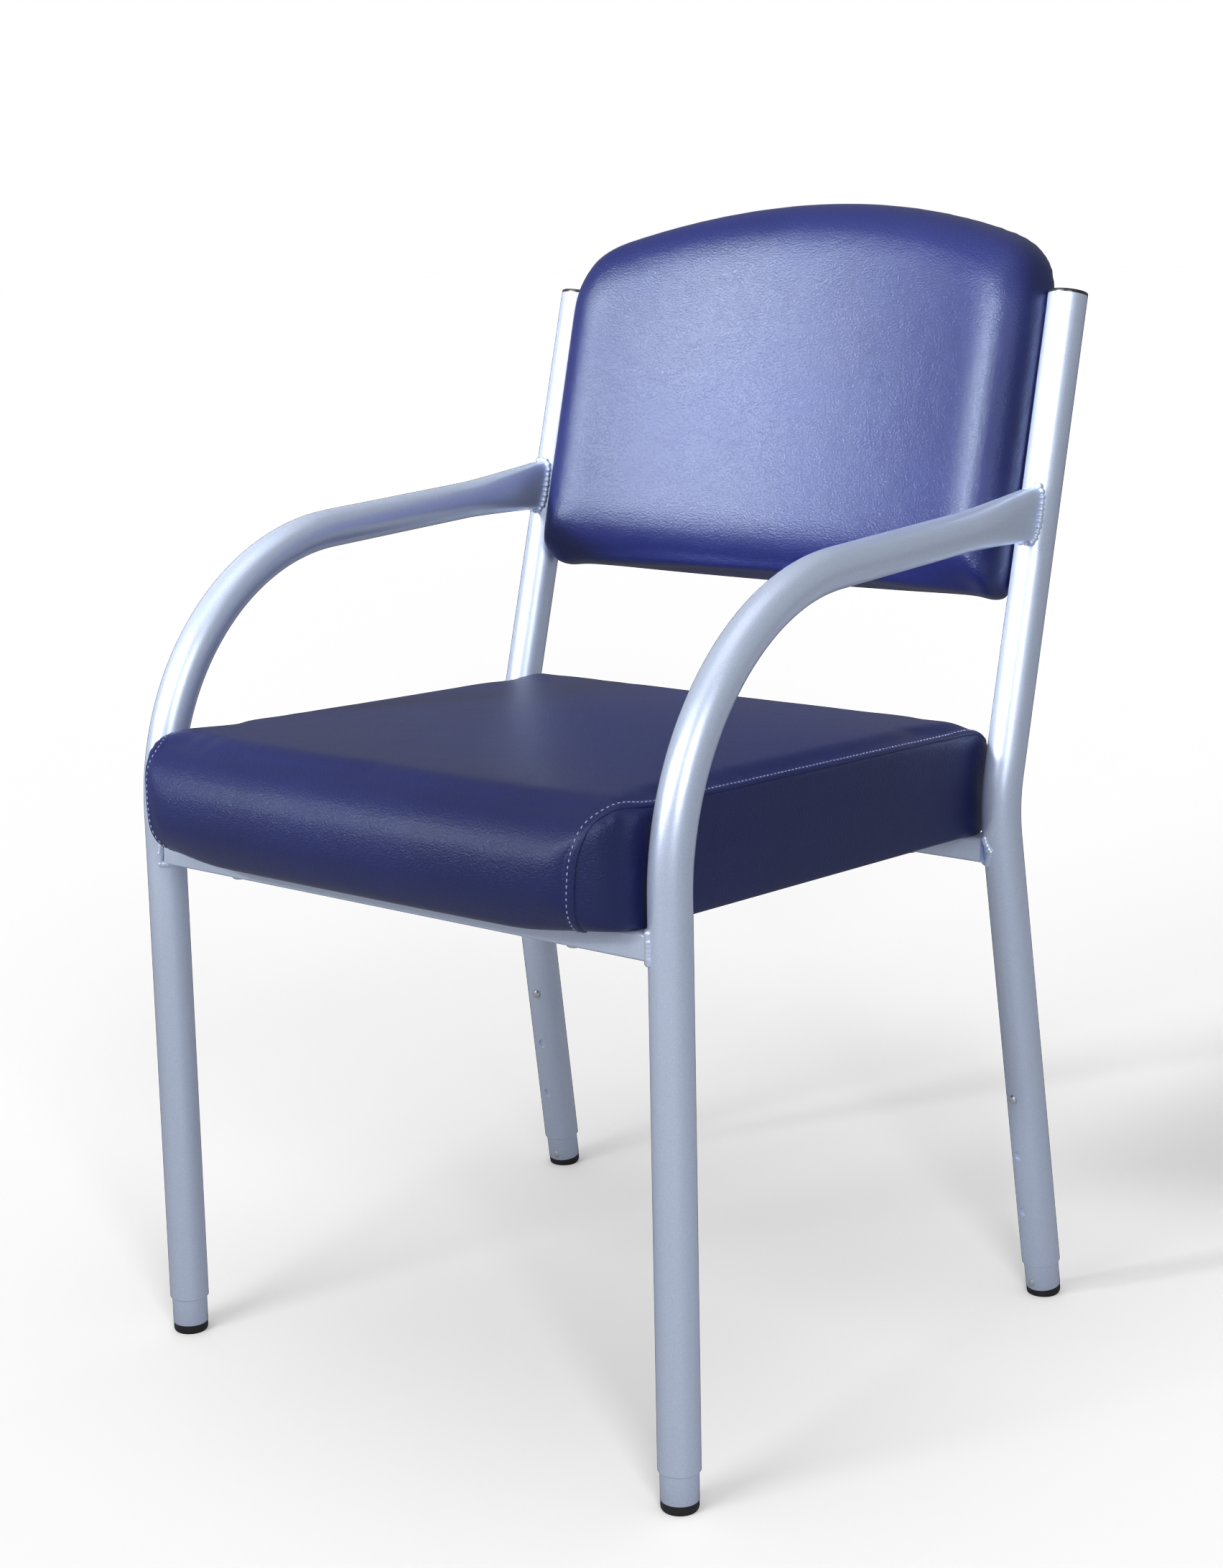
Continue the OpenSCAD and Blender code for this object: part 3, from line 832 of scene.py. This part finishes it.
def prism(bm, outline, low, high, place):
    """A solid with the outline (x, y) from z = low to z = high, in the axes of place."""
    bottom = bm.faces.new([bm.verts.new((x, y, low)) for x, y in outline])
    grown = bmesh.ops.extrude_face_region(bm, geom=[bottom])
    top = [v for v in grown["geom"] if isinstance(v, bmesh.types.BMVert)]
    bmesh.ops.translate(bm, vec=(0, 0, high - low), verts=top)
    bmesh.ops.recalc_face_normals(bm, faces=bm.faces)
    bmesh.ops.transform(bm, matrix=place, verts=bm.verts)


def keep_inside(piece, bm):
    """Keeps only what a piece shares with a second solid."""
    tool = new_piece(bm, "tool", VINYL, None)
    boolean = piece.modifiers.new("cut", "BOOLEAN")
    boolean.operation = "INTERSECT"
    boolean.object = tool
    boolean.solver = "EXACT"
    settle(piece)
    bpy.data.objects.remove(tool)


def upholster(piece, form, held, main):
    """Blows the pad up under its cover as cloth, and keeps how far each point swells:
    up to SWELL across the pad (along main), much less round its edge.
    form(point) gives the pad its curve once its skin is fine enough to bend."""
    remesh = piece.modifiers.new("remesh", "REMESH")
    remesh.mode = "VOXEL"
    remesh.voxel_size = VOXEL
    settle(piece)
    for v in piece.data.vertices:
        v.co = form(v.co)
    before = [(v.co.copy(), v.normal.copy()) for v in piece.data.vertices]
    group = piece.vertex_groups.new(name="held")
    group.add([v.index for v in piece.data.vertices if held(v.co)], 1, "REPLACE")
    cloth = piece.modifiers.new("cloth", "CLOTH")
    cloth.settings.use_pressure = True
    cloth.settings.uniform_pressure_force = PRESSURE
    cloth.settings.effector_weights.gravity = 0
    cloth.settings.vertex_group_mass = "held"
    cloth.point_cache.frame_end = FRAMES
    for step in range(1, FRAMES + 1):
        bpy.context.scene.frame_set(step)
    settle(piece)
    bpy.context.scene.frame_set(1)
    for v, (start, outward) in zip(piece.data.vertices, before):
        swell = (v.co - start).dot(outward)
        limit = SWELL * (EDGE_SWELL + (1 - EDGE_SWELL) * abs(outward.dot(main)))
        v.co = start + outward * min(max(swell, -EDGE_SINK * limit), limit)
    smooth = piece.modifiers.new("smooth", "SMOOTH")
    smooth.iterations = 7
    fine = piece.modifiers.new("fine", "SUBSURF")
    fine.levels = fine.render_levels = 1
    settle(piece)
    piece.data.shade_smooth()


def fitted(piece, axes, low, high):
    """Stretches a pad a little, in its own axes, until it fills its box; None leaves an axis."""
    inverse = axes.inverted()
    points = [inverse @ v.co for v in piece.data.vertices]
    for axis in range(3):
        if low[axis] is not None:
            least = min(p[axis] for p in points)
            share = (high[axis] - low[axis]) / (max(p[axis] for p in points) - least)
            for p in points:
                p[axis] = low[axis] + (p[axis] - least) * share
    for v, p in zip(piece.data.vertices, points):
        v.co = axes @ p


# ---------------------------------------------------------------- seat
# The seat pad: a waterfall front, straight sides, square-edged board under it. One top panel
# rolls over the front; a boxing band runs round the sides, lapped under the top panel and
# topstitched in a paler thread.
SEAT_HALF = 0.243
SEAT_NOSE = -0.0645
SEAT_TAIL = 0.459
SEAT_T = 0.091
SEAT_FRONT_R = 0.049
SEAT_REAR_R = 0.023
NOSE_R = 0.046
UNDER_R = 0.034
TAIL_R = 0.042
TAIL_UNDER_R = 0.016
SEAT_SLACK = 0.003
SEAT_BOW = 0.004
SEAT_BOW_L = 0.06
SEAT_BELLY = 0.008
BELLY_START = 0.014
BELLY_L = 0.016
BELLY_END = 0.96
BELLY_EASE = 0.35
SEAT_DRAW = 0.012
SEAT_DRAW_H = 0.05


def rounded(corners, steps=8):
    """An outline through (x, y, radius) corners, anticlockwise, each rounded by its radius."""
    outline = []
    for k, (x, y, radius) in enumerate(corners):
        here = Vector((x, y))
        before = Vector(corners[k - 1][:2]) - here
        after = Vector(corners[(k + 1) % len(corners)][:2]) - here
        before.normalize()
        after.normalize()
        half = before.angle(after) / 2
        middle = here + (before + after).normalized() * radius / math.sin(half)
        start = here + before * radius / math.tan(half) - middle
        sweep = math.pi - 2 * half
        for step in range(steps + 1):
            outline.append(middle + Matrix.Rotation(sweep * step / steps, 2) @ start)
    return [tuple(p) for p in outline]


def seat_pad():
    half, nose, tail = SEAT_HALF - SEAT_SLACK, SEAT_NOSE + SEAT_SLACK, SEAT_TAIL - SEAT_SLACK
    plan = rounded(
        [
            (-half, nose, SEAT_FRONT_R),
            (half, nose, SEAT_FRONT_R),
            (half, tail, SEAT_REAR_R),
            (-half, tail, SEAT_REAR_R),
        ],
        12,
    )
    top = SEAT_T - SEAT_SLACK
    side_view = rounded(
        [(nose, 0, UNDER_R), (tail, 0, TAIL_UNDER_R), (tail, top, TAIL_R), (nose, top, NOSE_R)], 12
    )
    bm = bmesh.new()
    prism(bm, plan, -0.0005, SEAT_T, Matrix.Identity(4))
    pad = new_piece(bm, "seat_pad", VINYL, "frame")
    bm = bmesh.new()
    lengthwise = Matrix(((0, 0, 1, 0), (1, 0, 0, 0), (0, 1, 0, 0), (0, 0, 0, 1)))
    prism(bm, side_view, -0.3, 0.3, lengthwise)
    keep_inside(pad, bm)
    return pad


def seat_form(point):
    """Bows the front a little, hangs its underside before the rail, draws in its lower corners
    and sets the pad on the sloping rails."""
    ahead = clamped(-point.y / SEAT_BOW_L)
    out = abs(point.x) / SEAT_HALF
    low = clamped(1 - point.z / SEAT_DRAW_H) ** 2
    overhang = clamped((-point.y - BELLY_START) / BELLY_L)
    middle = clamped((BELLY_END - out) / BELLY_EASE)
    belly = SEAT_BELLY * low * overhang * middle * middle * (3 - 2 * middle)
    bow = (SEAT_BOW * out**2 + SEAT_DRAW * out**6 * low) * ahead
    return SEAT @ Vector((point.x, point.y + bow, point.z - belly))


into_seat = SEAT.inverted()
seat_cushion = seat_pad()
upholster(seat_cushion, seat_form, lambda co: (into_seat @ co).z < 0.004, SEAT.col[2].to_3d())
fitted(seat_cushion, SEAT, (-SEAT_HALF, SEAT_NOSE, None), (SEAT_HALF, SEAT_TAIL, None))
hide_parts("seat_cushion")

# The lapped seam: from under the front corner up and over, along the side, round behind the
# rear corner. Points are (across, back, up) on the seat, in metres.
SEAM_GUIDE = [
    (0.2120, -0.0300, -0.0010),
    (0.2165, -0.0430, 0.0080),
    (0.2180, -0.0500, 0.0210),
    (0.2185, -0.0500, 0.0370),
    (0.2205, -0.0500, 0.0560),
    (0.2255, -0.0410, 0.0755),
    (0.2330, -0.0250, 0.0860),
    (0.2400, -0.0020, 0.0890),
    (0.2420, 0.0250, 0.0895),
    (0.2425, 0.1500, 0.0895),
    (0.2425, 0.3000, 0.0890),
    (0.2425, 0.3950, 0.0880),
    (0.2425, 0.4230, 0.0860),
    (0.2400, 0.4420, 0.0770),
    (0.2280, 0.4520, 0.0700),
    (0.1900, 0.4560, 0.0680),
    (0.0000, 0.4560, 0.0680),
]
SEAM_PITCH = 0.0022
STITCH_PITCH = 0.0046
STITCH_L = 0.0030
STITCH_R = 0.00052
STITCH_IN = 0.0050
# The lap's section, as points (in over the lap, off the cover).
LAP = [
    (-0.0004, -0.0012),
    (-0.0008, 0.0002),
    (-0.0005, 0.0009),
    (0.0004, 0.0013),
    (0.0020, 0.0013),
    (0.0038, 0.0010),
    (0.0050, 0.0005),
    (0.0062, 0.0006),
    (0.0085, 0.0002),
    (0.0100, -0.0012),
]


def flowing(points, steps=10):
    """A smooth line through a few points (a Catmull-Rom spline)."""
    line = []
    for k in range(len(points) - 1):
        before, a, b = points[max(k - 1, 0)], points[k], points[k + 1]
        after = points[min(k + 2, len(points) - 1)]
        for step in range(steps):
            t = step / steps
            line.append(
                (
                    2 * a
                    + (b - before) * t
                    + (2 * before - 5 * a + 4 * b - after) * t**2
                    + (3 * a - before - 3 * b + after) * t**3
                )
                / 2
            )
    return line + [points[-1]]


def eased(line, times):
    """Takes the jitter out of a line of points or directions."""
    for _ in range(times):
        inner = [(a + 2 * b + c) / 4 for a, b, c in zip(line, line[1:], line[2:])]
        line = [line[0], *inner, line[-1]]
    return line


def seam_line(tree, guide, pitch):
    """Where a seam runs on the cover: each point with the way onward and the way to the lap."""
    found = [tree.find_nearest(p)[:2] for p in even(flowing(guide), pitch, closed=False)]
    line = eased([point for point, _ in found], 12)
    outwards = eased([outward for _, outward in found], 12)
    run = []
    for k, (point, outward) in enumerate(zip(line, outwards)):
        onward = (line[min(k + 1, len(line) - 1)] - line[max(k - 1, 0)]).normalized()
        run.append((point, onward, outward.cross(onward).normalized()))
    return run


def laid(tree, run, inwards, proud):
    """A line beside the seam, so far towards the lap and so far off the cover."""
    found = [tree.find_nearest(point + lap * inwards)[:2] for point, _, lap in run]
    return eased([point + normal * proud for point, normal in found], 8)


def closed_stack(loops):
    """A solid skinned over closed loops of points, its first and last loops filled."""
    bm = wrapped(len(loops), len(loops[0]), lambda row, k: loops[row][k])
    bmesh.ops.holes_fill(bm, edges=[e for e in bm.edges if e.is_boundary])
    bmesh.ops.recalc_face_normals(bm, faces=bm.faces)
    return bm


def lapped_edge(tree, run, name):
    """The folded edge of the top panel, lying on the band: a low, rounded strip."""
    lines = [laid(tree, run, *offset) for offset in LAP]
    edge = new_piece(closed_stack(list(zip(*lines))), name, VINYL, "frame")
    shade(edge, 70)


def stitches(tree, run, name, seed):
    """A row of short raised stitches beside the folded edge, none quite like the next."""
    draw = random.Random(seed)
    centres = laid(tree, run, STITCH_IN, 0.0009)
    bm = bmesh.new()
    for k in range(1, len(run) - 1, round(STITCH_PITCH / SEAM_PITCH)):
        onward, lap = run[k][1:]
        axes = Matrix((onward, lap, onward.cross(lap))).transposed().to_4x4()
        size = Matrix.Diagonal((STITCH_L / 2 * draw.uniform(0.9, 1.08), STITCH_R, STITCH_R, 1))
        lean = Matrix.Rotation(draw.uniform(-0.06, 0.06), 4, "Z")
        place = Matrix.Translation(centres[k]) @ axes @ lean @ size
        bmesh.ops.create_icosphere(bm, subdivisions=1, radius=1, matrix=place)
    row = new_piece(bm, name, THREAD, "frame")
    shade(row, 80)


def thread():
    finish = Finish("thread", Sheen_Weight=0.3)
    twist = finish.noise(2400, 1, finish.stretched((1, 1, 0.4)))
    return finish.surface(
        Base_Color=finish.tinted(twist, (0.26, 0.29, 0.60), (0.48, 0.52, 0.82)),
        Roughness=0.6 + twist * 0.15,
        Normal=finish.bumped(twist, 0.00008),
    )


THREAD = thread()
cover = tree_of(seat_cushion)
guide = [SEAT @ Vector(p) for p in SEAM_GUIDE]
mirrored = [SEAT @ Vector((-x, y, z)) for x, y, z in SEAM_GUIDE]
seam = seam_line(cover, guide + mirrored[-2::-1], SEAM_PITCH)
lapped_edge(cover, seam, "seat_lapped_seam")
stitches(cover, seam, "seat_topstitching", 5)

# Under the seat the vinyl is wrapped round the plywood board's edge, turned in and stapled.
HEM_W = 0.036
HEM_T = 0.0011
HEM_FROM_SIDE = 0.012
HEM_FROM_FRONT = 0.036
HEM_FROM_REAR = 0.0155
STAPLE_PITCH = 0.034
STAPLE_W = 0.011
STAPLE_R = 0.0005


def under_loop(inset, w):
    """A rounded rectangle under the seat, drawn in by inset, at height w."""
    half = SEAT_HALF - HEM_FROM_SIDE - inset
    front, rear = SEAT_NOSE + HEM_FROM_FRONT + inset, SEAT_TAIL - HEM_FROM_REAR - inset
    corners = [(-half, front, 0.050), (half, front, 0.050), (half, rear, 0.022), (-half, rear, 0.022)]
    return [SEAT @ Vector((x, y, w)) for x, y in rounded(corners, 10)]


def plywood():
    finish = Finish("plywood")
    figure = finish.noise(9, 4, finish.stretched((1, 0.12, 1)))
    fibre = finish.noise(260, 3, finish.stretched((1, 0.06, 1)))
    plies = finish.node(
        "ShaderNodeTexWave",
        {"bands_direction": "Z"},
        out="Fac",
        Vector=finish.place,
        Scale=95,
        Distortion=0.6,
    )
    grain = figure * 0.55 + fibre * 0.3 + plies * 0.15
    return finish.surface(
        Base_Color=finish.tinted(grain.between(0.3, 0.7), (0.36, 0.22, 0.11), (0.62, 0.44, 0.26)),
        Roughness=0.58 + fibre * 0.2,
        Normal=finish.bumped(fibre, 0.0002),
    )


PLYWOOD = plywood()
dress("seat_board", PLYWOOD)
dress("back_board", PLYWOOD)

# The hem's section, from inside the pad, round the board's edge and in to its cut edge.
hem_loops = [
    under_loop(-0.0055, 0.0060),
    under_loop(-0.0050, 0.0012),
    under_loop(-0.0035, -0.0006),
    under_loop(0.0020, -HEM_T),
    under_loop(HEM_W - 0.0012, -HEM_T),
    under_loop(HEM_W, -HEM_T + 0.0006),
    under_loop(HEM_W, 0.0004),
]
bm = wrapped(len(hem_loops), len(hem_loops[0]), lambda row, k: hem_loops[row][k])
bmesh.ops.bridge_loops(bm, edges=[e for e in bm.edges if e.is_boundary])
bmesh.ops.recalc_face_normals(bm, faces=bm.faces)
hem = new_piece(bm, "seat_hem", VINYL, "frame")
shade(hem, 60)

bm = bmesh.new()
line = even(under_loop(HEM_W * 0.6, -HEM_T), STAPLE_PITCH)
for k, point in enumerate(line):
    onward = (line[(k + 1) % len(line)] - line[k - 1]).normalized()
    down = SEAT.to_3x3() @ Vector((0, 0, -1))
    axes = Matrix((onward, down.cross(onward), down)).transposed().to_4x4()
    size = Matrix.Diagonal((STAPLE_W, 2 * STAPLE_R, 2.4 * STAPLE_R, 1))
    bmesh.ops.create_cube(bm, size=1, matrix=Matrix.Translation(point) @ axes @ size)
bmesh.ops.bevel(
    bm, geom=bm.edges[:], offset=STAPLE_R * 0.5, segments=2, profile=0.5, affect="EDGES", material=-1
)
staples = new_piece(bm, "seat_staples", SPRING_STEEL, "frame")
shade(staples)

# ---------------------------------------------------------------- screws
# Zinc pan-head screws with a hexagon socket: four up through the rails into the seat board,
# four through the tabs on the posts into the back board.
SCREW_R = 0.0025
SEAT_SCREW_X = 0.175
TAB_HEIGHTS = (0.165, 0.315)
BACK_SET = 0.040
BACK_CURVE_R = 1.050
BRACKET_TURN = math.radians(12.2)
POST_LEAN = math.atan2(POST_TOP.y - KNEE.y, POST_TOP.z - KNEE.z)
BACK_Z = 0.500
BACK_Y = KNEE.y + (BACK_Z - KNEE.z) * math.tan(POST_LEAN) - CENTRE_Y
BACK = Matrix.Translation((0, BACK_Y, BACK_Z)) @ Matrix.Rotation(-POST_LEAN, 4, "X")


def pan_screw(bm, place, head_r, head_h, shank):
    """A screw whose head stands up Z from place, its shank going down."""
    head = bmesh.new()
    profile = [(0, -shank), (SCREW_R * 0.5, -shank), (SCREW_R, -shank + 0.002), (SCREW_R, 0)]
    profile += [(head_r, 0), (head_r, head_h * 0.35)]
    profile += arc((head_r - head_h * 0.65, head_h * 0.35), head_h * 0.65, 15, 90, 5)
    socket = head_r * 0.46
    profile += [(socket + 0.0003, head_h), (socket, head_h - 0.0003)]
    profile += [(socket, head_h * 0.3), (0, head_h * 0.15)]
    turned(head, profile, Matrix.Identity(4), 24)
    for v in head.verts:
        if math.hypot(v.co.x, v.co.y) < socket * 1.02 and v.co.z > 0:
            turn = math.atan2(v.co.y, v.co.x) % (math.pi / 3) - math.pi / 6
            v.co.xy *= math.cos(math.pi / 6) / math.cos(turn)
    bmesh.ops.transform(head, matrix=place, verts=head.verts)
    mesh = bpy.data.meshes.new("screw")
    head.to_mesh(mesh)
    head.free()
    bm.from_mesh(mesh)
    bpy.data.meshes.remove(mesh)


bm = bmesh.new()
for v in (0, REAR_RAIL_V):
    for side in (-1, 1):
        under = Matrix.Translation((side * SEAT_SCREW_X, v, -RAIL_H))
        down = Matrix.Rotation(math.pi, 4, "X")
        pan_screw(bm, SEAT @ under @ down, 0.0055, 0.0034, RAIL_H + 0.008)
seat_screws = new_piece(bm, "seat_fixing_screws", ZINC, "frame")
shade(seat_screws, 30)
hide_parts("seat_screws")

bm = bmesh.new()
for side in (-1, 1):
    for s in TAB_HEIGHTS:
        out = (
            Matrix.Translation((0, BACK_SET - BACK_CURVE_R, s))
            @ Matrix.Rotation(-side * BRACKET_TURN, 4, "Z")
            @ Matrix.Translation((0, BACK_CURVE_R + 0.0032, 0))
            @ Matrix.Rotation(-math.pi / 2, 4, "X")
        )
        pan_screw(bm, BACK @ out, 0.005, 0.0026, 0.014)
back_screws = new_piece(bm, "back_fixing_screws", ZINC, "frame")
shade(back_screws, 30)
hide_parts("back_screws")
dress("back_brackets", SILVER)

# ---------------------------------------------------------------- back
# The back pad: a curved plywood board with deep foam, its front hollowed from side to side
# and rolled over at every edge. It is squeezed between the posts and swells out above them.
# A thin vinyl-covered panel closes its rear.
BACK_HALF = 0.2425
BACK_LOW = 0.104
BACK_HIGH = 0.436
BACK_T = 0.062
ARCH_R = 0.550
BACK_CORNER_R = 0.075
BACK_FOOT_R = 0.021
BACK_ROLL = 0.054
BACK_ROLL_POWER = 2.3
BACK_SWELL = 0.018
BACK_EAR = 0.0035
BACK_EAR_X = 0.224
BACK_EAR_W = 0.013
BACK_EAR_H = 0.022
BACK_HOLLOW_R = 0.700
BACK_SLACK = 0.0035
BACK_EDGE = 0.007
ROLL_STEPS = 14
POST_TOP_S = 0.352


def back_loop(inset, deep):
    """The back's outline, drawn in by inset, as points (across, deep, up)."""
    half, low = BACK_HALF - inset, BACK_LOW + inset
    foot_r = max(BACK_FOOT_R - inset, 0.004)
    arch_z = BACK_HIGH - ARCH_R
    corner_x = BACK_HALF - BACK_CORNER_R
    corner_z = arch_z + math.sqrt((ARCH_R - BACK_CORNER_R) ** 2 - corner_x**2)
    swing = math.degrees(math.atan2(corner_z - arch_z, corner_x))
    line = arc((half - foot_r, low + foot_r), foot_r, -90, 0, 8)
    line += arc((corner_x, corner_z), BACK_CORNER_R - inset, 0, swing, 12)
    line += arc((0, arch_z), ARCH_R - inset, swing, 180 - swing, 24)[1:-1]
    line += arc((-corner_x, corner_z), BACK_CORNER_R - inset, 180 - swing, 180, 12)
    line += arc((foot_r - half, low + foot_r), foot_r, 180, 270, 8)
    return [Vector((x, deep, s)) for x, s in line]


def board_curve(x):
    """How far back the board's rear face is, at a distance from the middle."""
    return BACK_SET - x**2 / (2 * BACK_CURVE_R)


def back_form(point):
    """Bends the flat pad: rear on the board's curve, front hollowed more tightly. The gathered
    vinyl hangs a little at the lower corners."""
    share = point.y / BACK_T
    rear = board_curve(point.x)
    front = BACK_SET - BACK_T - point.x**2 / (2 * BACK_HOLLOW_R)
    above = clamped((point.z - POST_TOP_S) / 0.03)
    swell = 1 + BACK_SWELL * above * above * (3 - 2 * above)
    across_ear = (abs(point.x) - BACK_EAR_X) / BACK_EAR_W
    above_ear = (point.z - BACK_LOW) / BACK_EAR_H
    height = point.z - BACK_EAR * math.exp(-(across_ear**2 + above_ear**2))
    return BACK @ Vector((point.x * swell, rear + (front - rear) * share, height))


front = BACK_T - BACK_SLACK
loops = [
    back_loop(BACK_SLACK + 0.006, 0.0015),
    back_loop(BACK_SLACK + 0.0015, 0.003),
    back_loop(BACK_SLACK, BACK_EDGE),
]
for k in range(1, ROLL_STEPS + 1):
    share = (k / ROLL_STEPS) ** 2
    rise = (1 - (1 - share) ** BACK_ROLL_POWER) ** (1 / BACK_ROLL_POWER)
    loops.append(back_loop(BACK_SLACK + BACK_ROLL * share, BACK_EDGE + (front - BACK_EDGE) * rise))
back_cushion = new_piece(closed_stack(loops), "back_pad", VINYL, "frame")
into_back = BACK.inverted()


def at_the_rear(co):
    at = into_back @ co
    return at.y > board_curve(at.x) - 0.006


upholster(back_cushion, back_form, at_the_rear, BACK.col[1].to_3d())
widest = BACK_HALF * (1 + BACK_SWELL)
fitted(back_cushion, BACK, (-widest, None, BACK_LOW - BACK_EAR), (widest, None, BACK_HIGH))
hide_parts("back_cushion")

panel_loops = [
    back_loop(0.0085, 0.0028),
    back_loop(0.0062, 0.0022),
    back_loop(0.0060, 0.0012),
    back_loop(0.0070, 0.0002),
    back_loop(0.0110, -0.0008),
    back_loop(0.0300, -0.0012),
    back_loop(0.0600, -0.0014),
]
panel = new_piece(closed_stack(panel_loops), "back_rear_cover", VINYL, "frame")
remesh = panel.modifiers.new("remesh", "REMESH")
remesh.mode = "VOXEL"
remesh.voxel_size = 0.0016
settle(panel)
for v in panel.data.vertices:
    v.co = BACK @ Vector((v.co.x, board_curve(v.co.x) - v.co.y, v.co.z))
panel.data.shade_smooth()
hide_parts("back_rear_panel")
